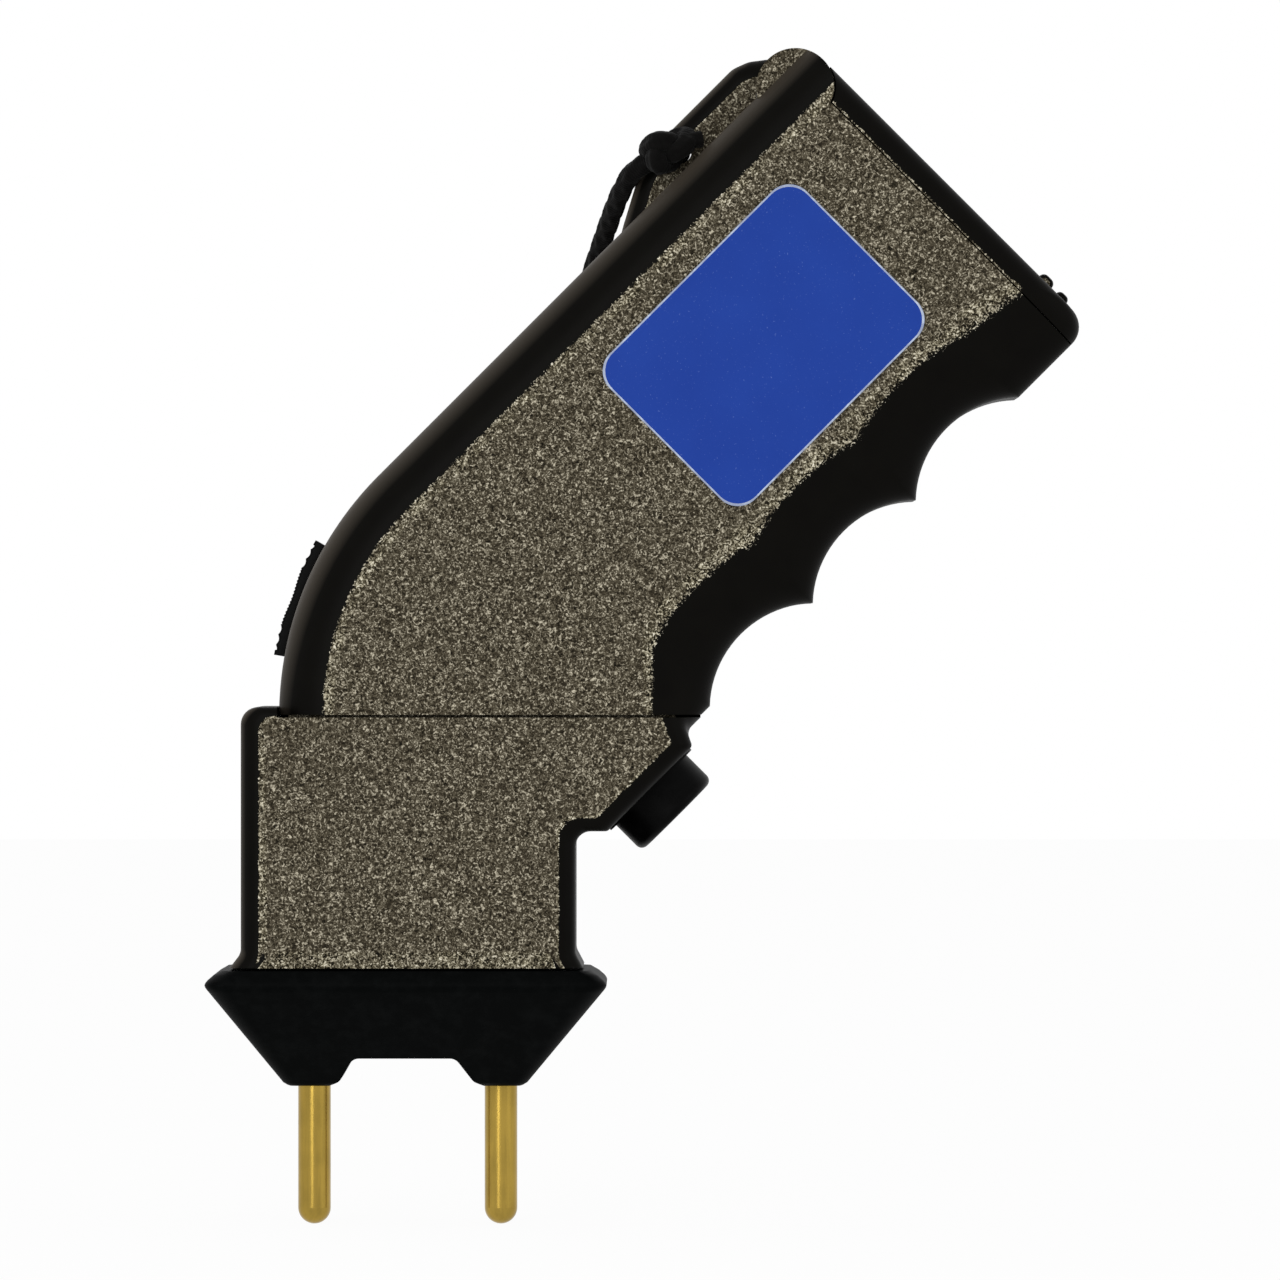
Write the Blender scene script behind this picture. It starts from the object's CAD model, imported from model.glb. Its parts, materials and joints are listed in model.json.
# Looks of a small one-hand cattle prodder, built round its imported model.
# Places and sizes are in millimetres, as in the part's source; each mesh turns them into metres.
import json
import math

import bmesh
import bpy
from mathutils import Matrix, Vector


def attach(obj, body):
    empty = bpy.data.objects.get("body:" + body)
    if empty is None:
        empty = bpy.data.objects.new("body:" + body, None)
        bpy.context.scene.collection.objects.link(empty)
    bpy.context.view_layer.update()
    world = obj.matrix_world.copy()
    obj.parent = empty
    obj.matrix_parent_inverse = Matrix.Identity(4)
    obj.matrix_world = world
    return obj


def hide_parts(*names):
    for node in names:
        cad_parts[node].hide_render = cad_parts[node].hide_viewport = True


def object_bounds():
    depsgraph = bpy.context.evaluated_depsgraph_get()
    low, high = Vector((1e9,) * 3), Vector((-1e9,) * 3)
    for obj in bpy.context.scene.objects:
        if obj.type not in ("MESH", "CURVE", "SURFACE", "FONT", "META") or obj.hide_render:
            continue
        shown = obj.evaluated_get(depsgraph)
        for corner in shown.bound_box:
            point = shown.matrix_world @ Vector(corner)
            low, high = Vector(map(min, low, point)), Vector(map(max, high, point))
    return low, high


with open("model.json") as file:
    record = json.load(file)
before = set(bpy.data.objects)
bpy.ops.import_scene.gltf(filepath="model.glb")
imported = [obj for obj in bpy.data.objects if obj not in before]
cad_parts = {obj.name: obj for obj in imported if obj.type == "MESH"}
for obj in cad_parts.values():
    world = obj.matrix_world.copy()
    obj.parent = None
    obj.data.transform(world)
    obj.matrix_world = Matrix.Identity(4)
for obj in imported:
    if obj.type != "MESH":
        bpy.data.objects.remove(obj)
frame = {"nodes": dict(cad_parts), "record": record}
cad_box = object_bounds()

# Driving dimensions, in millimetres and degrees
MM = 0.001
HALF_THICK = 16.5
WALL = 2.2
GRIP_BACK = 28.8
GRIP_FRONT = 28.8
BACK_ROUND = 7.2
FINGER_ROUND = 6.4
RIDGE_PITCH = 21.1
GROOVE_DEPTH = 4.2
GROOVES = 3
FIRST_RIDGE_U = -31.7
BUTT_U = 42.2
DOOR_T = 3.8
ELBOW_R = 49.3
ELBOW_U = -42
SEAM = 0.4
PARTING = 0.16
HEAD_W = 48.4
HEAD_H = 36.4
HEAD_STEP = 5.4
LEDGE_H = 1.3
FLARE = 1.6
FLARE_H = 2.1
BOSS_V = 31.1
BOSS_HALF = 8.55
TRIGGER_U = -46.4
BUTTON_D = 14.5
BUTTON_OUT = 5.7
STEM_D = 5
SKIRT_V = 28.5
NOSE_W = 58.1
NOSE_HALF = 18
NOSE_H = 17.4
NOTCH_H = 4.1
FOOT_HALF = 6
ELECTRODE_GAP = 27.2
SHANK_D = 4
HINGE_U = 40.4
HINGE_V = -25.8
HINGE_GAP = 0.3
KNUCKLE_R = 5.5
KNUCKLE_HALF = 8
EAR_OUT = 11.5
PIN_D = 2.5
LABEL_L = 40.2
LABEL_W = 29.7
LABEL_R = 3.6
LABEL_T = 0.25
LABEL_AT = (10.6, -2.6)
LUG_HALF = 4.5
LUG_OUT = 5.6
LUG_ROUND = 2.6
STRAP_D = 3
KNOT_R = 3.7
SLIDER_AT = 20
SLIDER_SPAN = 20
SLIDER_OUT = 1.7
SLIDER_HALF = 4.5
SLIDE_GAP = 0.25


# Outlines: points of the mid-plane as (x, z)

def uv(u, v):
    """A point of the mid-plane from grip places: u along the grip, v from back to fingers."""
    return Vector(((u + v) / math.sqrt(2), (u - v) / math.sqrt(2)))


def grip_place(point):
    """The grip places, u and v, of a point of the mid-plane."""
    return (point.x + point.y) / math.sqrt(2), (point.x - point.y) / math.sqrt(2)


ELBOW = uv(ELBOW_U, ELBOW_R - GRIP_BACK)
NECK_Z = ELBOW.y
NECK_X = ELBOW.x - ELBOW_R
HEAD_X = NECK_X - HEAD_STEP
HEAD_RIGHT = HEAD_X + HEAD_W
HEAD_LOW_Z = NECK_Z - HEAD_H
NOSE_MID = HEAD_X + HEAD_W / 2 - 0.35
FOOT_Z = HEAD_LOW_Z - NOSE_H
GROOVE_R = ((RIDGE_PITCH / 2) ** 2 + GROOVE_DEPTH ** 2) / (2 * GROOVE_DEPTH)
GROOVE_V = GRIP_FRONT + GROOVE_R - GROOVE_DEPTH
HINGE = uv(HINGE_U, HINGE_V)
LUG_AT = uv(22.2, -GRIP_BACK - LUG_OUT / 2 + 0.3)


def round_in(y, width, half):
    """How far an edge rounding of this width has drawn in at y."""
    depth = min(abs(y) - (half - width), width)
    if depth <= 0 or width <= 0:
        return 0
    return width - math.sqrt(width * width - depth * depth)


def edge_levels(half, width, steps):
    """Levels from the face at -half to the mid-plane, at even turns of the rounding."""
    arc = [-half + width * (1 - math.cos(math.radians(90 * k / steps))) for k in range(steps + 1)]
    return arc + [-PARTING * 1.4, 0]


def parting(y):
    """The small chamfer where two halves meet at the mid-plane."""
    return PARTING if abs(y) < 1e-6 else 0


def outline(points, radii, insets, steps):
    """A closed outline with each edge moved in by its inset and each corner rounded."""
    points = [Vector(p) for p in points]
    count = len(points)
    ahead = [(points[(i + 1) % count] - points[i]).normalized() for i in range(count)]
    left = [Vector((-d.y, d.x)) for d in ahead]
    moved = []
    for i in range(count):
        q1 = points[i] + left[i - 1] * insets[i - 1]
        q2 = points[i] + left[i] * insets[i]
        turn = ahead[i - 1].x * ahead[i].y - ahead[i - 1].y * ahead[i].x
        gap = (q2 - q1).x * ahead[i].y - (q2 - q1).y * ahead[i].x
        moved.append(q2 if abs(turn) < 0.001 else q1 + ahead[i - 1] * (gap / turn))
    ring = []
    for i in range(count):
        if radii[i] == 0:
            ring.append(moved[i])
            continue
        before, after = moved[i] - moved[i - 1], moved[(i + 1) % count] - moved[i]
        d1, d2 = before.normalized(), after.normalized()
        turn = math.atan2(d1.x * d2.y - d1.y * d2.x, d1.dot(d2))
        # A corner may use nearly all of an edge that ends sharp, and half of one that it shares
        share = [0.98 if radii[k] == 0 else 0.48 for k in (i - 1, (i + 1) % count)]
        room = min(before.length * share[0], after.length * share[1])
        radius = min(radii[i], room / math.tan(abs(turn) / 2))
        if turn < 0:
            radius = min(radii[i] + (insets[i] + insets[i - 1]) / 2, room / math.tan(abs(turn) / 2))
        side = Vector((-d1.y, d1.x)) * radius * math.copysign(1, turn)
        middle = moved[i] - d1 * radius * math.tan(abs(turn) / 2) + side
        for k in range(steps + 1):
            ring.append(middle + Matrix.Rotation(turn * k / steps, 2) @ -side)
    return ring


# Meshes

def mesh_object(name, points, faces):
    """An object from points in millimetres, with its faces turned outwards."""
    mesh = bpy.data.meshes.new(name)
    mesh.from_pydata([Vector(p) * MM for p in points], [], faces)
    mesh.update()
    piece = bpy.data.objects.new(name, mesh)
    bpy.context.collection.objects.link(piece)
    build = bmesh.new()
    build.from_mesh(mesh)
    bmesh.ops.recalc_face_normals(build, faces=build.faces)
    build.to_mesh(mesh)
    build.free()
    return piece


def loft(name, rings):
    """A closed solid through rings of equal length, with a flat cap on each end."""
    size = len(rings[0])
    points = [p for ring in rings for p in ring]
    faces = [tuple(range(size)), tuple(range(len(points) - 1, len(points) - size - 1, -1))]
    for k in range(len(rings) - 1):
        for i in range(size):
            a, b = k * size + i, k * size + (i + 1) % size
            faces.append((a, a + size, b + size, b))
    return mesh_object(name, points, faces)


def at_y(ring, y):
    """A ring of the mid-plane, moved sideways to y."""
    return [(p.x, y, p.y) for p in ring]


def box(lo, hi):
    """A box from its lowest to its highest corner."""
    corners = ((lo[0], lo[1]), (hi[0], lo[1]), (hi[0], hi[1]), (lo[0], hi[1]))
    return loft("cutter", [[(x, y, z) for x, y in corners] for z in (lo[2], hi[2])])


def grip_box(u, v, y):
    """A box given by grip places."""
    corners = [uv(u[0], v[0]), uv(u[1], v[0]), uv(u[1], v[1]), uv(u[0], v[1])]
    return loft("cutter", [at_y(corners, y[0]), at_y(corners, y[1])])


def disc_ring(middle, first, second, radius, sides):
    """A circle of points in the plane of two directions."""
    angles = [2 * math.pi * k / sides for k in range(sides)]
    return [middle + radius * (math.cos(a) * first + math.sin(a) * second) for a in angles]


def rod_y(at, y0, y1, radius, sides=64):
    """A round bar along Y through a point of the mid-plane."""
    x, z = Vector((1, 0, 0)), Vector((0, 0, 1))
    ends = [Vector((at[0], y, at[1])) for y in (y0, y1)]
    return loft("cutter", [disc_ring(end, x, z, radius, sides) for end in ends])


def turned(name, origin, axis, profile, sides=96):
    """A solid turned about an axis. The profile holds (radius, height), from one end to the other."""
    axis = Vector(axis).normalized()
    first = axis.orthogonal().normalized()
    second = axis.cross(first)
    rings = [disc_ring(Vector(origin) + axis * h, first, second, r, sides) for r, h in profile]
    return loft(name, rings)


def elbow_ring(section, turn):
    """A section, given as (radius, y), set up at an angle about the elbow's middle."""
    a = math.radians(turn)
    return [(ELBOW.x - r * math.cos(a), y, ELBOW.y + r * math.sin(a)) for r, y in section]


def sector(r0, r1, a0, a1, y0, y1, steps=16):
    """A curved bar about the elbow's middle, from angle a0 to a1 above the horizontal."""
    section = ((r0, y0), (r1, y0), (r1, y1), (r0, y1))
    turns = [a0 + (a1 - a0) * k / steps for k in range(steps + 1)]
    return loft("cutter", [elbow_ring(section, turn) for turn in turns])


def combine(piece, others, operation):
    """Joins the others to the piece, or cuts them out of it, and deletes them."""
    for other in others:
        change = piece.modifiers.new("combine", "BOOLEAN")
        change.operation = operation
        change.solver = "EXACT"
        change.object = other
    evaluated = piece.evaluated_get(bpy.context.evaluated_depsgraph_get())
    result = bpy.data.meshes.new_from_object(evaluated)
    piece.modifiers.clear()
    piece.data = result
    for other in others:
        bpy.data.objects.remove(other)
    return piece


def join(name, pieces):
    """One object from several closed solids that only touch or overlap inside."""
    build = bmesh.new()
    for piece in pieces:
        build.from_mesh(piece.data)
    mesh = bpy.data.meshes.new(name)
    build.to_mesh(mesh)
    build.free()
    for piece in pieces:
        bpy.data.objects.remove(piece)
    joined = bpy.data.objects.new(name, mesh)
    bpy.context.collection.objects.link(joined)
    return joined


def smooth(piece, sharp=32):
    """Smooth shading that keeps hard edges and flat faces."""
    for face in piece.data.polygons:
        face.use_smooth = True
    piece.data.set_sharp_from_angle(angle=math.radians(sharp))
    weighted = piece.modifiers.new("weighted", "WEIGHTED_NORMAL")
    weighted.keep_sharp = True
    return piece


def mirrored(pieces):
    """The same solids on the far side of the mid-plane."""
    for piece in pieces:
        piece.data.transform(Matrix.Scale(-1, 4, (0, 1, 0)))
        piece.data.flip_normals()
    return pieces


# Materials

class Finish:
    """A material that is built from a few nodes, with its patterns fixed to the piece."""

    def __init__(self, name, color, roughness, metallic=0.0, specular=0.5):
        self.material = bpy.data.materials.new(name)
        self.material.use_nodes = True
        self.nodes = self.material.node_tree.nodes
        self.links = self.material.node_tree.links
        self.shader = self.nodes["Principled BSDF"]
        self.shader.inputs["Base Color"].default_value = (*color, 1)
        self.shader.inputs["Roughness"].default_value = roughness
        self.shader.inputs["Metallic"].default_value = metallic
        self.shader.inputs["Specular IOR Level"].default_value = specular
        self.place = self.nodes.new("ShaderNodeTexCoord").outputs

    def put(self, value, socket):
        """Links or sets an input."""
        if isinstance(value, bpy.types.NodeSocket):
            self.links.new(value, socket)
        else:
            socket.default_value = value

    def node(self, kind, inputs=None, **settings):
        made = self.nodes.new("ShaderNode" + kind)
        for key, value in settings.items():
            setattr(made, key, value)
        for key, value in (inputs or {}).items():
            self.put(value, made.inputs[key])
        return made

    def noise(self, size, detail=2.0, rough=0.5, distortion=0.0, stretch=(1, 1, 1)):
        """Noise whose features are about this many millimetres across."""
        scaled = self.node("Mapping", {"Vector": self.place["Object"], "Scale": stretch})
        return self.node("TexNoise", {
            "Vector": scaled.outputs["Vector"], "Scale": 1 / (size * MM), "Detail": detail,
            "Roughness": rough, "Distortion": distortion}).outputs["Fac"]

    def ramp(self, value, stops):
        """Colours, or greys, at places along a value."""
        made = self.node("ValToRGB", {"Fac": value})
        elements = made.color_ramp.elements
        while len(elements) < len(stops):
            elements.new(0.5)
        for element, (position, color) in zip(elements, stops):
            element.position = position
            element.color = (color, color, color, 1) if isinstance(color, float) else (*color, 1)
        return made.outputs["Color"]

    def mix(self, factor, a, b):
        made = self.node("Mix", {"Factor": factor}, data_type="RGBA")
        # Sockets 6, 7 and 2 are the two colours and the result of a mix of colours
        for socket, value in ((made.inputs[6], a), (made.inputs[7], b)):
            self.put((*value, 1) if isinstance(value, tuple) else value, socket)
        return made.outputs[2]

    def math(self, operation, a, b=0.0):
        return self.node("Math", {0: a, 1: b}, operation=operation).outputs["Value"]

    def part(self, output, axis):
        """One coordinate of the place, the normal or the UV."""
        return self.node("SeparateXYZ", {"Vector": self.place[output]}).outputs[axis]

    def paint(self, socket):
        self.links.new(socket, self.shader.inputs["Base Color"])

    def gloss(self, socket, low, high):
        """Roughness between two values, following a pattern."""
        spread = self.node("MapRange", {"Value": socket, "To Min": low, "To Max": high})
        self.links.new(spread.outputs["Result"], self.shader.inputs["Roughness"])

    def bump(self, socket, depth, strength=1.0):
        """Relief of this many millimetres."""
        made = self.node("Bump", {"Height": socket, "Distance": depth * MM, "Strength": strength})
        if self.shader.inputs["Normal"].is_linked:
            self.links.new(self.shader.inputs["Normal"].links[0].from_socket, made.inputs["Normal"])
        self.links.new(made.outputs["Normal"], self.shader.inputs["Normal"])


def linear(red, green, blue):
    """A colour as it is seen, 0 to 255, turned into the renderer's own values."""
    seen = [c / 255 for c in (red, green, blue)]
    return tuple(c / 12.92 if c <= 0.04045 else ((c + 0.055) / 1.055) ** 2.4 for c in seen)


def grained_plastic():
    """Black-brown moulded plastic: worm-like grain on the flat outer sides, smooth edges and insides."""
    finish = Finish("shell_plastic", linear(40, 36, 30), 0.5, specular=0.03)
    side = finish.math("SIGN", finish.part("Object", "Y"))
    outwards = finish.math("MULTIPLY", finish.part("Normal", "Y"), side)
    turned_away = finish.math("SUBTRACT", 1.0, outwards)
    grain = finish.noise(0.5, 2.0, 0.6, 1.4)
    fine = finish.noise(0.26, 1.0, 0.5)
    height = finish.math("ADD", finish.math("MULTIPLY", grain, 0.75), finish.math("MULTIPLY", fine, 0.25))
    # The grains get rare where the side starts to round, and are worn brighter there
    level = finish.math("ADD", finish.math("MULTIPLY", turned_away, 60.0), 0.27)
    flat = finish.node("MapRange", {"Value": finish.math("SUBTRACT", height, level),
        "From Min": 0.0, "From Max": 0.09}, interpolation_type="SMOOTHSTEP").outputs["Result"]
    worn = finish.ramp(finish.noise(2.2, 2.0, 0.5), [(0.4, 0.25), (0.6, 1.0)])
    rim = finish.ramp(finish.math("MULTIPLY", turned_away, 200.0), [(0.0, 0.0), (0.01, 0.8), (0.6, 0.8)])
    speckle = finish.ramp(height, [(0.36, linear(20, 17, 11)), (0.46, linear(56, 50, 38)),
        (0.55, linear(100, 93, 77)), (0.66, linear(206, 198, 176))])
    bright = finish.ramp(height, [(0.4, linear(26, 22, 15)), (0.5, linear(92, 85, 66)),
        (0.6, linear(206, 198, 172)), (0.68, linear(250, 246, 230))])
    cloud = finish.noise(16, 2.0, 0.5)
    face = finish.mix(finish.math("MULTIPLY", cloud, 0.2), speckle, linear(66, 60, 49))
    face = finish.mix(finish.math("MULTIPLY", rim, worn), face, bright)
    # The back is rubbed to a grey-brown by the hand
    back = finish.node("VectorMath", {0: finish.place["Normal"], 1: (-0.83, 0, 0.55)},
        operation="DOT_PRODUCT").outputs["Value"]
    rubbed = finish.ramp(back, [(0.62, 0.0), (0.98, 1.0)])
    edge = finish.mix(finish.noise(5, 3.0, 0.6), linear(7, 6, 5), linear(13, 12, 9))
    edge = finish.mix(rubbed, edge, linear(70, 64, 56))
    finish.paint(finish.mix(flat, edge, face))
    finish.gloss(finish.math("MULTIPLY", flat, height), 0.42, 0.6)
    relief = finish.math("MULTIPLY", height, finish.math("ADD", finish.math("MULTIPLY", flat, 0.92), 0.08))
    finish.bump(relief, 0.16, 0.9)
    return finish.material


def smooth_plastic(name, color, roughness, grain=0.02, shine=0.3):
    """Plain moulded plastic with a trace of flow and fine scuffs."""
    finish = Finish(name, linear(*color), roughness, specular=shine)
    lighter = [min(255, c * 1.45 + 6) for c in color]
    scuff = finish.noise(2.4, 5.0, 0.65)
    worn = finish.ramp(scuff, [(0.45, 0.0), (0.8, 1.0)])
    finish.paint(finish.mix(worn, linear(*color), linear(*lighter)))
    finish.gloss(scuff, roughness - 0.07, roughness + 0.12)
    finish.bump(finish.noise(0.5, 2.0, 0.5), grain)
    return finish.material


def metal(name, color, roughness, along=(1, 1, 1), metallic=1.0, spots=None):
    """Metal with fine drawn lines, soft duller patches and, if asked for, small tarnished spots."""
    finish = Finish(name, linear(*color), roughness, metallic=metallic)
    lines = finish.noise(0.5, 3.0, 0.6, stretch=along)
    patch = finish.noise(6, 3.0, 0.5)
    dull, drawn = ([c * share for c in color] for share in (0.86, 0.8))
    tone = finish.mix(finish.ramp(patch, [(0.35, 0.0), (0.75, 1.0)]), linear(*color), linear(*dull))
    tone = finish.mix(finish.ramp(lines, [(0.45, 0.0), (0.75, 0.5)]), tone, linear(*drawn))
    if spots:
        tarnish = finish.ramp(finish.noise(0.6, 3.0, 0.7), [(0.7, 0.0), (0.78, 0.7)])
        tone = finish.mix(tarnish, tone, linear(*spots))
    finish.paint(tone)
    finish.gloss(patch, roughness - 0.05, roughness + 0.1)
    finish.bump(lines, 0.012)
    return finish.material


def label_film():
    """Plain blue printed film with tiny pale specks."""
    finish = Finish("label_film", linear(34, 65, 152), 0.4, specular=0.04)
    specks = finish.ramp(finish.noise(0.3, 2.0, 0.7), [(0.66, 0.0), (0.78, 1.0)])
    tone = finish.mix(finish.noise(9, 3.0, 0.5), linear(31, 60, 147), linear(36, 68, 158))
    finish.paint(finish.mix(finish.math("MULTIPLY", specks, 0.6), tone, linear(120, 144, 206)))
    finish.gloss(finish.noise(3, 3.0, 0.6), 0.3, 0.44)
    finish.bump(finish.noise(0.6, 2.0, 0.5), 0.012)
    return finish.material


def braid_material():
    """Black nylon braid; its strands are in the mesh, their threads are here."""
    finish = Finish("strap_braid", linear(9, 9, 9), 0.7, specular=0.03)
    threads = finish.math("SINE", finish.math("MULTIPLY", finish.part("UV", "X"), 420.0))
    worn = finish.noise(1.2, 3.0, 0.6)
    finish.paint(finish.mix(worn, linear(4, 4, 4), linear(19, 18, 17)))
    finish.gloss(worn, 0.6, 0.85)
    finish.bump(threads, 0.03, 0.6)
    finish.bump(finish.noise(0.18, 2.0, 0.6), 0.05, 0.7)
    finish.shader.inputs["Sheen Weight"].default_value = 0.04
    return finish.material


def board_laminate():
    """Green lacquer over a fine glass weave."""
    finish = Finish("board_laminate", linear(44, 104, 56), 0.35)
    weave = finish.node("TexWave", {"Vector": finish.place["Object"], "Scale": 320.0, "Distortion": 2.0})
    finish.paint(finish.mix(finish.math("MULTIPLY", weave.outputs["Fac"], 0.4), linear(34, 88, 46),
        linear(60, 124, 70)))
    finish.bump(weave.outputs["Fac"], 0.01)
    return finish.material


def copper_winding():
    """Turns of lacquered wire."""
    finish = Finish("winding_copper", linear(168, 96, 42), 0.34, metallic=0.85)
    turns = finish.node("TexWave", {"Vector": finish.place["Object"], "Scale": 640.0}, bands_direction="Z")
    finish.paint(finish.mix(turns.outputs["Fac"], linear(112, 56, 22), linear(196, 122, 60)))
    finish.bump(turns.outputs["Fac"], 0.06)
    return finish.material


def speckled(name, dark, light, roughness, size, relief):
    """Foam, pressed board, ferrite and the like: two tones in grains of one size."""
    finish = Finish(name, linear(*dark), roughness, specular=0.3)
    grains = finish.noise(size, 4.0, 0.7)
    finish.paint(finish.mix(finish.ramp(grains, [(0.4, 0.0), (0.62, 1.0)]), linear(*dark), linear(*light)))
    finish.bump(grains, relief)
    return finish.material


def battery_can():
    """A painted can, a little scuffed."""
    finish = Finish("battery_case", linear(44, 62, 104), 0.32, metallic=0.3)
    scuffs = finish.noise(3, 5.0, 0.7)
    finish.paint(finish.mix(finish.ramp(scuffs, [(0.5, 0.0), (0.72, 0.6)]), linear(40, 56, 96),
        linear(92, 100, 118)))
    finish.gloss(scuffs, 0.24, 0.46)
    finish.bump(finish.noise(0.8, 3.0, 0.5), 0.015)
    return finish.material


MATERIALS = {
    "shell_plastic": grained_plastic(),
    "nose_plastic": smooth_plastic("nose_plastic", (4, 5, 5), 0.45, 0.012, 0.02),
    "button_plastic": smooth_plastic("button_plastic", (4, 4, 4), 0.36, 0.008, 0.04),
    "electrode_brass": metal("electrode_brass", (170, 142, 65), 0.19, (1, 1, 0.05), 1.0, (128, 100, 44)),
    "contact_brass": metal("contact_brass", (205, 176, 100), 0.26),
    "plated_steel": metal("plated_steel", (176, 178, 182), 0.3, (1, 0.08, 1)),
    "tinned_metal": metal("tinned_metal", (196, 196, 192), 0.34),
    "label_film": label_film(),
    "battery_case": battery_can(),
    "clip_plastic": smooth_plastic("clip_plastic", (26, 26, 26), 0.5),
    "red_insulation": smooth_plastic("red_insulation", (168, 28, 22), 0.4),
    "black_insulation": smooth_plastic("black_insulation", (20, 20, 20), 0.4),
    "foam": speckled("foam", (58, 56, 52), (96, 93, 86), 0.9, 0.5, 0.2),
    "phenolic": speckled("phenolic", (82, 50, 28), (108, 70, 42), 0.5, 0.4, 0.02),
    "board_laminate": board_laminate(),
    "ferrite": speckled("ferrite", (44, 44, 47), (70, 70, 74), 0.55, 0.35, 0.03),
    "winding_copper": copper_winding(),
    "component_black": smooth_plastic("component_black", (24, 24, 24), 0.55),
    "capacitor_red": smooth_plastic("capacitor_red", (160, 44, 34), 0.3),
    "capacitor_blue": smooth_plastic("capacitor_blue", (34, 50, 96), 0.35),
    "ceramic": smooth_plastic("ceramic", (208, 200, 180), 0.25),
    "resistor_body": smooth_plastic("resistor_body", (190, 164, 112), 0.35),
    "strap_braid": braid_material(),
}


def finish_nodes():
    """Every CAD node gets the material of its slot."""
    for row in frame["record"]["subparts"]:
        node = frame["nodes"][row["node"]]
        node.data.materials.clear()
        node.data.materials.append(MATERIALS[row["material_slot"]])


def settle(piece, slot, body, *nodes):
    """Gives a piece its finish and its body, and names the nodes that it stands for."""
    if not piece.data.materials:
        piece.data.materials.append(MATERIALS[slot])
    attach(piece, body)
    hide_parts(*nodes)


# Camera: level, square to the side, with a long lens

VIEW_WIDTH = 185.6
VIEW_MIDDLE = (-12.18, -33.2)
VIEW_PLANE_Y = -9
LENS = 300
SENSOR = 36


def add_camera():
    camera = bpy.data.objects.new("camera", bpy.data.cameras.new("camera"))
    bpy.context.collection.objects.link(camera)
    camera.data.lens = LENS
    camera.data.sensor_width = SENSOR
    away = VIEW_WIDTH * LENS / SENSOR
    camera.location = Vector((VIEW_MIDDLE[0], VIEW_PLANE_Y - away, VIEW_MIDDLE[1])) * MM
    camera.rotation_euler = (math.radians(90), 0, 0)
    camera.data.clip_start = 0.05
    camera.data.clip_end = 20
    bpy.context.scene.camera = camera


# Wrist strap: the route of part.scad, in metres

STRAP_ROUTE = [Vector(p) * MM for p in [
    (LUG_AT.x, -LUG_HALF, LUG_AT.y), (LUG_AT.x, 0, LUG_AT.y), (LUG_AT.x, 5, LUG_AT.y),
    (-8, 10, 36.5), (-8, 13.6, 35), (-8.3, 16.5, 32.2), (-8.9, 18.3, 29), (-10.2, 19, 25),
    (-12.6, 19.2, 19), (-16, 19, 12), (-20, 18.8, 4), (-24, 18.6, -4), (-27.5, 18.6, -13),
    (-30, 18.6, -23), (-31.5, 18.6, -34), (-32, 18.6, -46), (-32, 18.8, -58), (-32, 19.4, -68),
    (-32, 20, -77), (-32, 20, -85), (-32, 21.2, -89), (-32, 24, -91.5), (-32, 27.6, -91.6),
    (-32, 30.8, -89.4), (-32, 32.3, -85.4), (-32, 31.6, -78), (-32, 28.2, -69), (-32, 24.6, -59),
    (-32, 22.6, -47), (-32, 22.2, -34), (-31.4, 22.2, -23), (-30.2, 22.2, -13), (-28.4, 22.2, -4),
    (-26, 22, 4), (-23.4, 21.4, 11), (-21.2, 19.8, 16.4), (-19.5, 17.4, 20.4), (-18.2, 13.8, 24),
    (-17.1, 9.2, 27), (-16, 4, 29.8), (-14.8, -1, 32.4), (-13.2, -4.8, 34.8), (-10.8, -6.8, 36.4)]]
STRAP_STEP = 0.00036
STRANDS = 4
STRAND_PITCH = 0.0046
VALLEY = 0.89  # radius between the strands, as a share of the full one
KNOT_SCALE = 0.00084
KNOT_CORD_R = 0.0016
KNOT_STEPS = 170
TAIL_CORD_R = 0.0013
TAIL = [(0.5, 0.5, -0.4), (1.8, -0.6, 0.5), (3.4, -1.0, 1.2), (4.9, -0.6, 1.5)]


def smooth_line(points, step):
    """Points a step apart on a smooth curve through the given ones."""
    line = []
    for i in range(len(points) - 1):
        p0, p1 = points[max(i - 1, 0)], points[i]
        p2, p3 = points[i + 1], points[min(i + 2, len(points) - 1)]
        count = max(2, round((p2 - p1).length / step))
        for k in range(count):
            t = k / count
            line.append(0.5 * (2 * p1 + (p2 - p0) * t + (2 * p0 - 5 * p1 + 4 * p2 - p3) * t * t
                + (3 * p1 - p0 - 3 * p2 + p3) * t ** 3))
    return line + [points[-1]]


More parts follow.
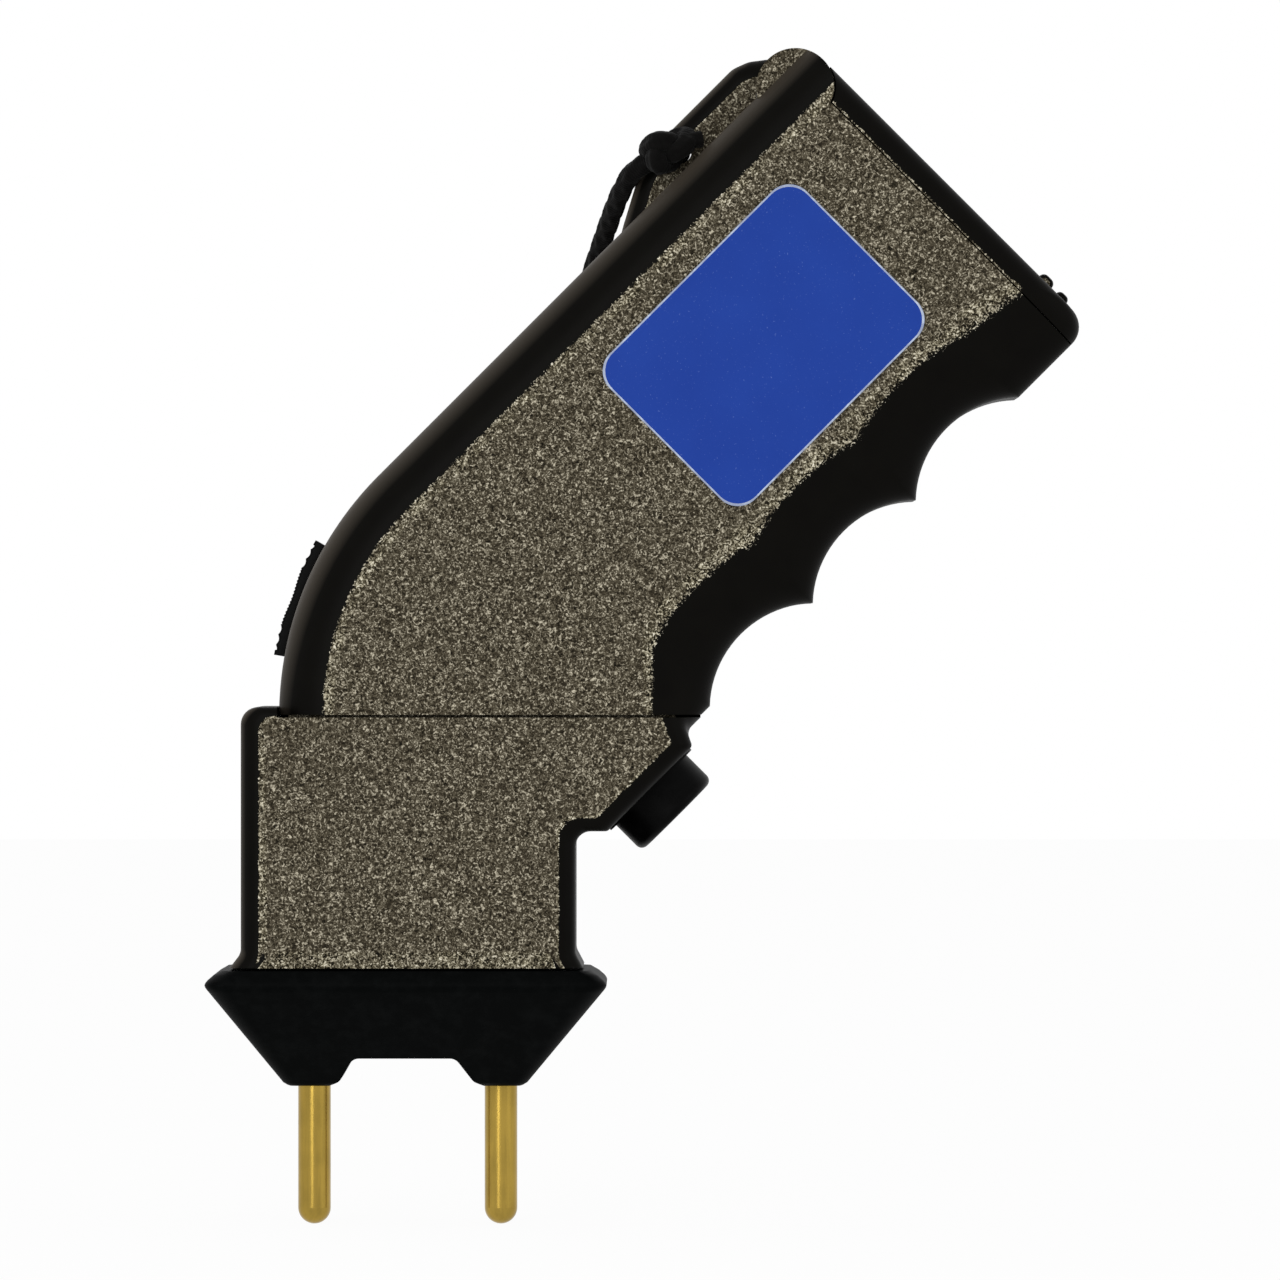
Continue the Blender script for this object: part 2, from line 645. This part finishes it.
def braided_tube(name, line, radius, sides=28, closed=False):
    """A round braid along a line: strands wind both ways and pass over and under."""
    points, faces, run = [], [], [0]
    count = len(line)
    for i in range(1, count):
        run.append(run[-1] + (line[i] - line[i - 1]).length)
    first = (line[1] - line[0]).orthogonal().normalized()
    for i in range(count):
        following, previous = (i + 1) % count, i - 1
        if not closed:
            following, previous = min(i + 1, count - 1), max(i - 1, 0)
        ahead = (line[following] - line[previous]).normalized()
        first = (first - ahead * first.dot(ahead)).normalized()
        second = ahead.cross(first)
        for k in range(sides):
            a = 2 * math.pi * k / sides
            wind = 2 * math.pi * run[i] / STRAND_PITCH
            one, other = math.cos(STRANDS * a + wind), math.cos(STRANDS * a - wind)
            r = radius * (VALLEY + (1 - VALLEY) * max(one, other))
            points.append((line[i] + (math.cos(a) * first + math.sin(a) * second) * r) / MM)
    rows = count if closed else count - 1
    for i in range(rows):
        for k in range(sides):
            a, b = i * sides + k, i * sides + (k + 1) % sides
            c, d = (a + sides) % len(points), (b + sides) % len(points)
            faces.append((a, b, d, c))
    if not closed:
        faces.append(tuple(range(sides)))
        faces.append(tuple(range(len(points) - 1, len(points) - sides - 1, -1)))
    piece = mesh_object(name, points, faces)
    layer = piece.data.uv_layers.new(name="UVMap")
    for loop in piece.data.loops:
        i, k = divmod(loop.vertex_index, sides)
        layer.data[loop.index].uv = (run[i] / radius / 20, k / sides)
    return smooth(piece, 60)


def add_strap():
    line = smooth_line(STRAP_ROUTE, STRAP_STEP)
    strap = braided_tube("strap_cord", line, STRAP_D * MM / 2)
    settle(strap, "strap_braid", "housing", "wrist_strap")
    knot = add_knot()


def add_knot():
    """An overhand knot pulled tight, wider than high, with its short tail."""
    at = uv(21, -GRIP_BACK - 0.15 - KNOT_R)
    middle = Vector((at.x, -LUG_HALF - KNOT_R + 0.2, at.y)) * MM
    line = []
    for k in range(KNOT_STEPS):
        t = 2 * math.pi * k / KNOT_STEPS
        across, up = math.sin(t) + 2 * math.sin(2 * t), math.cos(t) - 2 * math.cos(2 * t)
        p = Vector((1.2 * across + 0.25 * up, -1.9 * math.sin(3 * t), 0.84 * up + 0.25 * across))
        line.append(middle + p * KNOT_SCALE)
    body = braided_tube("knot_body", line, KNOT_CORD_R, closed=True)
    tail = smooth_line([middle + Vector(p) * MM for p in TAIL], STRAP_STEP)
    knot = join("strap_knot_braid", [body, braided_tube("knot_tail", tail, TAIL_CORD_R, 24)])
    settle(smooth(knot, 60), "strap_braid", "housing", "strap_knot")
    return knot


# Grip

ARC_STEPS = 56
GROOVE_STEPS = 22
EDGE_STEPS = 14
# The flat side's edge towards the fingers: straight between two places, then out to neck and butt
FLAT_V = 13.4
FLAT_NECK_U = -26.5
FLAT_BUTT_U = 29
FLAT_RUN = 12.2
FLAT_NECK_OUT = 9.6
FLAT_BUTT_OUT = 2.3
FLAT_SEAM_V = 23
FLAT_DRAWN = 1.02
# The flat sides have a hardly seen crown, so that their grain fades before the edge
CROWN = 0.015
BACK_CROWN = 1.3
# Battery bay and screws
SHELL_DEPTH = HALF_THICK - WALL
RIB_T = 1.6
RIB_U = -10.65
SCREW_SEAT_Y = 6
SCREW_HOLE_R = 2.8
BOSS_R = 3.8
PILOT_BOSS_R = 3
GRIP_SCREWS = [uv(32, 8 - GRIP_BACK), uv(31.7, GRIP_FRONT - 9.8), uv(-10.6, GRIP_FRONT - 9.8),
    uv(-24, 8 - GRIP_BACK)]
# The thumb slider's slot, in degrees about the elbow
SLOT_SPAN = (12.8, 22.7)
SLOT_HALF = 2.25


def groove_points(j, front):
    """One finger groove of the outline, moved in by front."""
    radius = GROOVE_R + front
    middle = FIRST_RIDGE_U + RIDGE_PITCH * (j + 0.5)
    ridge = math.asin(RIDGE_PITCH / 2 / radius)
    land = math.acos((GROOVE_V - (GRIP_FRONT - front)) / radius)
    start = land if j == 0 else ridge
    end = land if j == GROOVES - 1 else ridge
    stop = GROOVE_STEPS + 1 if j == GROOVES - 1 else GROOVE_STEPS
    turns = [-start + (start + end) * k / GROOVE_STEPS for k in range(stop)]
    return [uv(middle + radius * math.sin(t), GROOVE_V - radius * math.cos(t)) for t in turns]


def flat_v(u):
    """Where the flat side ends towards the fingers: nearly straight past the grooves."""
    neck = max(0, (FLAT_NECK_U - u) / FLAT_RUN)
    butt = max(0, (u - FLAT_BUTT_U) / FLAT_RUN)
    return FLAT_V + FLAT_NECK_OUT * neck * neck + FLAT_BUTT_OUT * butt


def grip_ring(back, front, low_z, high_u, drawn=0.0):
    """One level of the grip; drawn goes from the grooved outline, 0, to the flat side's edge, 1."""
    radius = ELBOW_R - back
    last = 180 - math.degrees(math.asin((low_z - ELBOW.y) / radius))
    ring = [uv(high_u, -GRIP_BACK + back)]
    for k in range(ARC_STEPS + 1):
        a = math.radians(135 + (last - 135) * k / ARC_STEPS)
        ring.append(ELBOW + radius * Vector((math.cos(a), math.sin(a))))
    corner_v = GRIP_FRONT - front + (FLAT_SEAM_V - GRIP_FRONT) * drawn
    ring.append(Vector((low_z + corner_v * math.sqrt(2), low_z)))
    fingers = [p for j in range(GROOVES) for p in groove_points(j, front)]
    for p in fingers + [uv(high_u, GRIP_FRONT - front)]:
        u, v = grip_place(p)
        ring.append(uv(u, v + (flat_v(u) - v) * drawn))
    return ring


def grip_outside():
    """The near half of the grip, without the lug and still solid."""
    low, high = NECK_Z + SEAM / 2, BUTT_U + DOOR_T * 2
    rings = [at_y(grip_ring(BACK_ROUND + BACK_CROWN, 0, low, high, FLAT_DRAWN), -HALF_THICK)]
    for y in edge_levels(HALF_THICK, BACK_ROUND, EDGE_STEPS):
        back = round_in(y, BACK_ROUND, HALF_THICK) + parting(y)
        drawn = round_in(y, FINGER_ROUND, HALF_THICK) / FINGER_ROUND
        rings.append(at_y(grip_ring(back, parting(y), low, high, drawn), max(y, CROWN - HALF_THICK)))
    form = loft("grip", rings)
    end = grip_box([BUTT_U, BUTT_U + 12], [-GRIP_BACK - 1, GRIP_FRONT + 1], [-HALF_THICK - 1, 1])
    end = combine(end, [rod_y(HINGE, -HALF_THICK - 2, 2, KNUCKLE_R)], "DIFFERENCE")
    return combine(form, [end], "DIFFERENCE")


def grip_inside():
    """The room inside the near half, a little over the mid-plane."""
    rings = []
    for y in [-SHELL_DEPTH, -SHELL_DEPTH + 1.2, -SHELL_DEPTH + BACK_ROUND - WALL, 2]:
        back = WALL + round_in(y, BACK_ROUND - WALL, SHELL_DEPTH)
        front = WALL + round_in(y, FINGER_ROUND - WALL, SHELL_DEPTH)
        rings.append(at_y(grip_ring(back, front, NECK_Z + WALL, BUTT_U + 2), y))
    return loft("cutter", rings)


def lug_outside():
    """The lug that the strap passes through: it ends over the door's knuckle and runs out down the back."""
    places = [(40, -1.5), (41.2, 2.7), (38.6, 4.7), (36.2, 5.6), (20, 5.6), (15, 4), (9, 0.8), (5, -1.5)]
    points = [uv(u, -out - GRIP_BACK) for u, out in places]
    rings = []
    for y in edge_levels(LUG_HALF, LUG_ROUND, 10):
        inset = round_in(y, LUG_ROUND, LUG_HALF) + parting(y)
        insets = [0] + [inset] * 6 + [0]
        rings.append(at_y(outline(points, [0, 1, 4, 4, 5, 5, 5, 0], insets, 8), y))
    return loft("cutter", rings)


def bay_ribs(side):
    """Walls of the battery bay, which show when the door is open, made on the near side."""
    root = -SHELL_DEPTH - 0.3
    end = BUTT_U - 0.7
    # The cross wall stops short of a screw's boss on the far side
    cross_end = 21 if side < 0 else 15.6
    walls = [grip_box([RIB_U, end], [v, v + RIB_T], [root, -0.05]) for v in (-16.2, 12.6)]
    rails = [grip_box([RIB_U, end - 3], [v, v + 1.5], [root, -8.95]) for v in (-10, 6.5)]
    return walls + rails + [grip_box([RIB_U, RIB_U + RIB_T], [-24, cross_end], [root, -4])]


def seam_lip(x0, x1, y):
    """A lip that closes the seam at its end; its lower edge draws back, so that it stays dark."""
    low = NECK_Z - SEAM / 2
    fronts = ((low, y + 0.5), (low + SEAM + 0.05, y), (NECK_Z + 1, y))
    return loft("cutter", [[(x0, front, z), (x1, front, z), (x1, -0.05, z), (x0, -0.05, z)]
        for z, front in fronts])


def neck_seat():
    """The grip's floor, which rests on the head inside the seam and leaves a window for the wires."""
    low, high = NECK_Z - SEAM / 2, NECK_Z + 1
    seat_end, lip_end = NECK_X + 57.4, NECK_X + 61.1
    seat = box((NECK_X + 1.5, -HALF_THICK + 3, low), (seat_end, -0.05, high))
    lips = [seam_lip(NECK_X + 0.25, NECK_X + 2, -9), seam_lip(seat_end - 0.4, lip_end, -9.6)]
    seat = combine(seat, lips, "UNION")
    window = box((NECK_X + 10.5, -7, NECK_Z - 2), (NECK_X + 54.5, 7, NECK_Z + 4))
    return combine(seat, [window], "DIFFERENCE")


def add_bosses(shell, side, screws, others=()):
    """Screw bosses, and wells for the heads on the far side; others are joined on with the bosses."""
    near, far = sorted((0.05 * side, (SHELL_DEPTH + 0.3) * side))
    radius = BOSS_R if side > 0 else PILOT_BOSS_R
    bosses = [rod_y(at, near, far, radius, 48) for at in screws]
    shell = combine(shell, [*others, *bosses], "UNION")
    if side > 0:
        wells = [rod_y(at, SCREW_SEAT_Y, HALF_THICK + 1, SCREW_HOLE_R, 48) for at in screws]
        shell = combine(shell, wells, "DIFFERENCE")
    return shell


def grip_shell(side, name, node):
    """One half of the grip; side is -1 near the camera and 1 on the far side."""
    shell = combine(grip_outside(), [lug_outside()], "UNION")
    shell = combine(shell, [grip_inside()], "DIFFERENCE")
    ribs = bay_ribs(side) + [neck_seat()]
    ears = [rod_y(HINGE, -EAR_OUT, -KNUCKLE_HALF, KNUCKLE_R + 0.2)]
    if side > 0:
        mirrored([shell, *ribs, *ears])
    shell = add_bosses(shell, side, GRIP_SCREWS, ears)
    # Room for the door's knuckle, the hinge pin, the strap and the slider's stem
    cuts = [rod_y(HINGE, -KNUCKLE_HALF - 0.35, KNUCKLE_HALF + 0.35, KNUCKLE_R + 0.18),
        rod_y(HINGE, -EAR_OUT + 0.5, EAR_OUT - 0.5, PIN_D / 2 + 0.04, 32),
        rod_y(LUG_AT, -LUG_HALF - 1, LUG_HALF + 1, STRAP_D / 2 + 0.25, 40),
        sector(ELBOW_R - WALL - 0.6, ELBOW_R + 1, *SLOT_SPAN, -SLOT_HALF, SLOT_HALF)]
    shell = combine(shell, cuts, "DIFFERENCE")
    shell = join(name, [shell, *ribs])
    settle(smooth(shell), "shell_plastic", "housing", node)


# Head

HEAD_POINTS = [(HEAD_X, NECK_Z + LEDGE_H), (HEAD_X, HEAD_LOW_Z + FLARE_H), (HEAD_X - FLARE, HEAD_LOW_Z),
    (HEAD_RIGHT + FLARE * 0.7, HEAD_LOW_Z), (HEAD_RIGHT, HEAD_LOW_Z + FLARE_H),
    (HEAD_RIGHT, uv(TRIGGER_U - BOSS_HALF, BOSS_V).y), uv(TRIGGER_U - BOSS_HALF, BOSS_V),
    uv(TRIGGER_U + BOSS_HALF + 0.25, BOSS_V), uv(TRIGGER_U + BOSS_HALF + 1.25, GRIP_FRONT + 0.2),
    (NECK_Z + 8 + (GRIP_FRONT + 0.2) * math.sqrt(2), NECK_Z + 8),
    (NECK_X + 2, NECK_Z + 8), (NECK_X + 2, NECK_Z + LEDGE_H)]
# For each corner its radius, and for the edge after it how wide it is rounded and crowned
HEAD_RADII = [2.5, 2, 0, 0, 2, 2.9, 0.8, 0.8, 1.5, 0, 0, 0.4]
HEAD_ROUNDS = [2.9, 2.9, 0, 2.5, 2.5, 2, 2.6, 2.9, FINGER_ROUND, 0, 0, 1.35]
HEAD_CROWN = [1, 1, 0, 0.3, 0.3, 0.3, 0.3, 0.3, 0.3, 0, 0, 0.3]
HEAD_SCREWS = [(HEAD_X + 6.8, NECK_Z - 6.8), (HEAD_X + 6.8, HEAD_LOW_Z + 14.8),
    (HEAD_RIGHT - 6.8, HEAD_LOW_Z + 14.8)]
BEZEL_R = BUTTON_D / 2 + 0.55


def slab_ring(x0, x1, half, radius, z):
    """A level rectangle with rounded corners."""
    ring = outline([(x0, -half), (x1, -half), (x1, half), (x0, half)], [radius] * 4, [0] * 4, 10)
    return [(p.x, p.y, z) for p in ring]


def flared_band():
    """The low band at the foot of the head, a little proud of its flat side."""
    x0, x1, top = HEAD_X + 1.8, HEAD_RIGHT - 1.6, HEAD_LOW_Z + FLARE_H
    band = loft("cutter", [slab_ring(x0 + 0.6, x1 - 0.6, HALF_THICK - CROWN, 2.5, top + 0.5),
        slab_ring(x0, x1, HALF_THICK + 0.02, 2.5, top + 0.05),
        slab_ring(x0 - FLARE, x1 + FLARE * 0.7, HALF_THICK + 0.14, 2.5, HEAD_LOW_Z)])
    far = box((-100, 0, -100), (50, 30, 0))
    return combine(band, [far], "DIFFERENCE")


def head_outside():
    """The near half of the head, still solid."""
    crown = [w + extra for w, extra in zip(HEAD_ROUNDS, HEAD_CROWN)]
    rings = [at_y(outline(HEAD_POINTS, HEAD_RADII, crown, 8), -HALF_THICK)]
    for y in edge_levels(HALF_THICK, FINGER_ROUND, EDGE_STEPS):
        insets = [round_in(y, w, HALF_THICK) + (parting(y) if w else 0) for w in HEAD_ROUNDS]
        rings.append(at_y(outline(HEAD_POINTS, HEAD_RADII, insets, 8), max(y, CROWN - HALF_THICK)))
    # The grip's room above the seam
    above = box((NECK_X - 0.1, -HALF_THICK - 1, NECK_Z - SEAM / 2), (NECK_X + 80, 1, NECK_Z + 12))
    head = combine(loft("head", rings), [above], "DIFFERENCE")
    return combine(head, [flared_band()], "UNION")


def head_shell(side, name, node):
    """One half of the head; side is -1 near the camera and 1 on the far side."""
    shell = head_outside()
    room = box((HEAD_X + WALL, -SHELL_DEPTH, HEAD_LOW_Z + 2.6), (HEAD_RIGHT - WALL, 2, NECK_Z - WALL))
    shell = combine(shell, [room], "DIFFERENCE")
    if side > 0:
        mirrored([shell])
    shell = add_bosses(shell, side, HEAD_SCREWS)
    centre, along = trigger_axis()
    pocket = turned("cutter", centre, along, [(BEZEL_R, 10), (BEZEL_R, BOSS_V + 1)])
    shell = combine(shell, [pocket], "DIFFERENCE")
    shell.name = name
    settle(smooth(shell), "shell_plastic", "housing", node)


# Trigger button: turned about its own axis

def trigger_axis():
    """A point of the button's axis, and its direction."""
    start = uv(TRIGGER_U, 0)
    along = uv(0, 1)
    return Vector((start.x, 0, start.y)), Vector((along.x, 0, along.y))


def add_button():
    centre, along = trigger_axis()
    top = BOSS_V + BUTTON_OUT
    radius = BUTTON_D / 2
    skirt, cap, rounding = 1.45, 2.6, 1.1
    profile = [(STEM_D / 2, 12), (STEM_D / 2, top - cap), (radius - skirt, top - cap),
        (radius - skirt, SKIRT_V), (radius, SKIRT_V), (radius, top - rounding)]
    for k in range(1, 9):
        a = math.radians(90 * k / 8)
        profile.append((radius - rounding + rounding * math.cos(a), top - rounding + rounding * math.sin(a)))
    profile += [(radius * 0.6, top - 0.18), (radius * 0.3, top - 0.3), (0.05, top - 0.34)]
    button = turned("trigger_cap", centre, along, profile)
    settle(smooth(button, 40), "button_plastic", "trigger", "trigger_button")


# Nose block

# The ring round its widest level, as heights about it and how far it draws in there
NOSE_EDGE = [(-0.9, 0.62), (-0.5, 0.3), (-0.2, 0.1), (0.1, 0), (0.4, 0.1), (0.8, 0.4), (1.5, 1.2), (2.2, 2.4)]
NOTCH_ROUND = 1.6


def nose_notch():
    """What the notch between the two feet takes away; its right side leans out further."""
    x0, x1, top = NOSE_MID - 7.8, NOSE_MID + 7.1, FOOT_Z + NOTCH_H
    points = [(x0 - 3.8, FOOT_Z - 1), (x1 + 4.4, FOOT_Z - 1), (x1 + 4.1, FOOT_Z), (x1 + 2.6, FOOT_Z + 0.6),
        (x1, top), (x0, top), (x0 - 2, FOOT_Z + 0.6), (x0 - 3.5, FOOT_Z)]
    notch = outline(points, [0, 0, 0, *[NOTCH_ROUND] * 4, 0], [0] * 8, 8)
    return loft("cutter", [at_y(notch, -NOSE_HALF), at_y(notch, NOSE_HALF)])


def add_nose():
    foot = (NOSE_MID - 17.4, NOSE_MID + 16.9)
    rings = [slab_ring(foot[0] + 0.4, foot[1] - 0.4, FOOT_HALF - 0.4, 1.0, FOOT_Z),
        slab_ring(foot[0], foot[1], FOOT_HALF, 1.3, FOOT_Z + 0.15),
        slab_ring(foot[0] - 0.6, foot[1] + 0.6, FOOT_HALF + 0.5, 1.8, FOOT_Z + 0.5)]
    wide_z, half_w = HEAD_LOW_Z - 2.6, NOSE_W / 2
    for rise, back in NOSE_EDGE:
        rings.append(slab_ring(NOSE_MID - half_w + back, NOSE_MID + half_w - back, NOSE_HALF - back / 2, 3,
            wide_z + rise))
    nose = loft("nose_form", rings)
    inside = (HEAD_X + WALL, HEAD_RIGHT - WALL)
    neck_gap, flange_gap = 1.6, 0.4
    neck_y = SHELL_DEPTH - neck_gap
    neck = box((inside[0] + neck_gap, -neck_y, HEAD_LOW_Z - SEAM - 0.2),
        (inside[1] - neck_gap, neck_y, HEAD_LOW_Z + 2.9))
    flange = box((inside[0] + flange_gap, -13.4, HEAD_LOW_Z + 2.7),
        (inside[1] - flange_gap, 13.4, HEAD_LOW_Z + 4.1))
    cuts = [nose_notch()]
    hole_r = SHANK_D / 2 + 0.1
    for side in (-1, 1):
        foot_at = (NOSE_MID + side * ELECTRODE_GAP / 2, 0, FOOT_Z)
        cuts.append(turned("cutter", foot_at, (0, 0, 1), [(hole_r, -1), (hole_r, 40)], 40))
    nose = combine(nose, [neck, flange], "UNION")
    nose = combine(nose, cuts, "DIFFERENCE")
    nose.name = "nose_moulding"
    settle(smooth(nose, 30), "nose_plastic", "housing", "nose_block")


# Battery door

def door_bar(u, v, half, radius):
    """A bar across the door with a round top and rounded ends, for the thumb."""
    rings = []
    end = 0.5
    for y in (-half, -half + 0.15, -half + end, half - end, half - 0.15, half):
        near = max(0, abs(y) - (half - end)) / end
        inset = 0.45 * (1 - math.sqrt(max(0, 1 - near * near)))
        ring = outline([uv(u[0], v[0]), uv(u[0], v[1]), uv(u[1], v[1]), uv(u[1], v[0])],
            [0, 0, radius, radius], [0, inset, inset, inset], 8)
        rings.append(at_y(ring, y))
    return loft("cutter", rings)


def add_door():
    low, high = BUTT_U + SEAM / 2, BUTT_U + DOOR_T
    points = [uv(low, -GRIP_BACK), uv(low, GRIP_FRONT), uv(high, GRIP_FRONT), uv(high, -GRIP_BACK)]
    near = edge_levels(HALF_THICK, BACK_ROUND, EDGE_STEPS)[:-2]
    # The finger side's rounding goes on from the edge of the grip's flat side
    finger_share = (GRIP_FRONT - flat_v(BUTT_U)) / FINGER_ROUND
    rings = []
    for y in near + [-y for y in reversed(near)]:
        insets = [round_in(y, w, HALF_THICK) for w in (0, FINGER_ROUND, 3.5, BACK_ROUND)]
        insets[1] *= finger_share
        rings.append(at_y(outline(points, [0, 0, 3.5, 3], insets, 10), y))
    door = loft("door", rings)
    door = combine(door, [grip_box([30, 50], [-40, HINGE_V - 0.3], [-20, 20])], "DIFFERENCE")
    tab = GRIP_FRONT - 7.3
    adds = [rod_y(HINGE, -KNUCKLE_HALF, KNUCKLE_HALF, KNUCKLE_R),
        door_bar((high - 1, high + 1.2), (tab - 3, tab - 0.5), 7, 0.9),
        door_bar((high - 1.6, high + 1), (tab + 0.5, tab + 2.6), 7, 0.8),
        grip_box([BUTT_U - 2.6, low + 0.5], [GRIP_FRONT - 9.6, GRIP_FRONT - 8.2], [-6, 6])]
    door = combine(door, adds, "UNION")
    rooms = [rod_y(HINGE, y, y + 20, KNUCKLE_R + HINGE_GAP) for y in (-KNUCKLE_HALF - 20, KNUCKLE_HALF)]
    rooms.append(rod_y(HINGE, -20, 20, PIN_D / 2 + 0.05, 32))
    door = combine(door, rooms, "DIFFERENCE")
    door.name = "door_moulding"
    settle(smooth(door), "shell_plastic", "door", "battery_door")


# Label: plain film with a thin pale edge

def add_label():
    corners = [uv(LABEL_AT[0] + a * LABEL_L / 2, LABEL_AT[1] + b * LABEL_W / 2)
        for a, b in ((-1, 1), (1, 1), (1, -1), (-1, -1))]
    bevel, edge = 0.06, 0.26
    rings = []
    for inset, lift in ((0, 0), (0, LABEL_T - bevel), (bevel, LABEL_T), (edge, LABEL_T)):
        ring = outline(corners, [LABEL_R] * 4, [inset] * 4, 12)
        rings.append(at_y(ring, -HALF_THICK - lift))
    label = loft("label_sheet", rings)
    label.data.materials.append(MATERIALS["label_film"])
    label.data.materials.append(smooth_plastic("label_edge", (150, 160, 186), 0.4, 0.01))
    # The two caps, which have many corners, are the film; the bands round them are its edge
    for face in label.data.polygons:
        face.material_index = 0 if len(face.vertices) > 4 else 1
    settle(smooth(label, 40), "label_film", "housing", "label")


# Thumb slider: a curved pad with cross ridges at both ends and a dip between them

# Angles are in degrees about the elbow
PAD_STEPS = 200
RIDGED_END = 5.2
RIDGE_STEP = 1.7
RIDGE_DEPTH = 0.26
DIP_HALF = 4.8
DIP_DEPTH = 0.28
FINE_STEP = 0.6
FINE_DEPTH = 0.06


def slider_rise(turn):
    """How far the pad stands out at an angle from its middle."""
    edge = SLIDER_SPAN / 2 - abs(turn)
    if edge < RIDGE_STEP / 2:
        return SLIDER_OUT
    if edge < RIDGED_END:
        return SLIDER_OUT - RIDGE_DEPTH * abs(math.sin(math.pi * edge / RIDGE_STEP))
    dip = DIP_DEPTH * (1 + math.cos(math.pi * turn / DIP_HALF)) / 2
    return SLIDER_OUT - 0.1 - dip - FINE_DEPTH * math.cos(2 * math.pi * turn / FINE_STEP)


def add_slider():
    rings = []
    base = ELBOW_R + SLIDE_GAP
    for k in range(PAD_STEPS + 1):
        turn = -SLIDER_SPAN / 2 + SLIDER_SPAN * k / PAD_STEPS
        top = ELBOW_R + slider_rise(turn)
        corners = [(base, -SLIDER_HALF), (top, -SLIDER_HALF), (top, SLIDER_HALF), (base, SLIDER_HALF)]
        section = outline(corners, [0, 0.45, 0.45, 0], [0] * 4, 6)
        rings.append(elbow_ring(section, SLIDER_AT + turn))
    pad = loft("pad", rings)
    plate_r = ELBOW_R - WALL - SLIDE_GAP
    stem = sector(plate_r - 0.2, base + 0.2, SLIDER_AT - 2.3, SLIDER_AT + 2.3, -2, 2)
    plate = sector(plate_r - 1.5, plate_r, SLIDER_AT - 5.5, SLIDER_AT + 5.5, -4, 4)
    slider = join("thumb_pad", [pad, stem, plate])
    settle(smooth(slider, 50), "button_plastic", "thumb_slider", "safety_slider")


# Floor, backdrop, light

# What the floor and the world show to the camera, also in gloss and through glass, is nearly
# white. To all other rays the floor glows half as much and is matt, and the world is WORLD_LEVEL.
FLOOR_WHITE = 0.95
FLOOR_HALF = 3000
WORLD_LEVEL = 0.64
KEY_LEVEL = 0.34
SIDE_LEVEL = 0.08


def by_ray(tree, seen, other):
    """A value for the rays that show a surface to the camera, and another for all other rays."""
    path = tree.nodes.new("ShaderNodeLightPath")
    rays = None
    for key in ("Is Camera Ray", "Is Glossy Ray", "Is Transmission Ray"):
        step = tree.nodes.new("ShaderNodeMath")
        step.operation = "MAXIMUM"
        step.inputs[1].default_value = 0
        tree.links.new(path.outputs[key], step.inputs[0])
        if rays:
            tree.links.new(rays, step.inputs[1])
        rays = step.outputs["Value"]
    level = tree.nodes.new("ShaderNodeMapRange")
    level.inputs["To Min"].default_value = other
    level.inputs["To Max"].default_value = seen
    tree.links.new(rays, level.inputs["Value"])
    return level.outputs["Result"]


def floor_white():
    """A pale surface that looks nearly white and keeps the shadow on it."""
    material = bpy.data.materials.new("floor_white")
    material.use_nodes = True
    tree = material.node_tree
    tree.nodes.clear()
    glow = tree.nodes.new("ShaderNodeEmission")
    matt = tree.nodes.new("ShaderNodeBsdfDiffuse")
    matt.inputs["Color"].default_value = (FLOOR_WHITE, FLOOR_WHITE, FLOOR_WHITE, 1)
    mix = tree.nodes.new("ShaderNodeMixShader")
    tree.links.new(by_ray(tree, FLOOR_WHITE, FLOOR_WHITE / 2), mix.inputs["Fac"])
    tree.links.new(matt.outputs["BSDF"], mix.inputs[1])
    tree.links.new(glow.outputs["Emission"], mix.inputs[2])
    output = tree.nodes.new("ShaderNodeOutputMaterial")
    tree.links.new(mix.outputs["Shader"], output.inputs["Surface"])
    return material


def add_floor():
    low = cad_box[0][2] / MM
    corners = [(a * FLOOR_HALF, b * FLOOR_HALF, low) for a, b in ((-1, -1), (1, -1), (1, 1), (-1, 1))]
    floor = mesh_object("floor", corners, [(0, 1, 2, 3)])
    floor.data.materials.append(floor_white())


def add_world():
    world = bpy.data.worlds.new("studio")
    bpy.context.scene.world = world
    world.use_nodes = True
    back = world.node_tree.nodes["Background"]
    back.inputs["Color"].default_value = (1, 1, 1, 1)
    world.node_tree.links.new(by_ray(world.node_tree, 1, WORLD_LEVEL), back.inputs["Strength"])


def add_lamp(name, place, width, height, level):
    """A soft box aimed at the object, in metres; level is the share of full white that it gives."""
    lamp = bpy.data.objects.new(name, bpy.data.lights.new(name, "AREA"))
    bpy.context.collection.objects.link(lamp)
    target = Vector((VIEW_MIDDLE[0], 0, VIEW_MIDDLE[1])) * MM
    lamp.location = Vector(place)
    lamp.data.shape = "RECTANGLE"
    lamp.data.size = width
    lamp.data.size_y = height
    lamp.data.energy = level * math.pi ** 2 * (lamp.location - target).length ** 2
    lamp.rotation_mode = "QUATERNION"
    lamp.rotation_quaternion = (target - lamp.location).to_track_quat("-Z", "Y")


finish_nodes()
add_camera()
add_strap()
grip_shell(-1, "grip_half_near", "grip_shell_near")
grip_shell(1, "grip_half_far", "grip_shell_far")
head_shell(-1, "head_half_near", "head_shell_near")
head_shell(1, "head_half_far", "head_shell_far")
add_nose()
add_door()
add_label()
add_button()
add_slider()
add_floor()
add_world()
add_lamp("key", (-0.36, -1.1, 0.2), 0.32, 0.9, KEY_LEVEL)
add_lamp("side", (0.8, -0.5, 0.15), 0.5, 0.5, SIDE_LEVEL)
bpy.context.scene.view_settings.view_transform = "Standard"
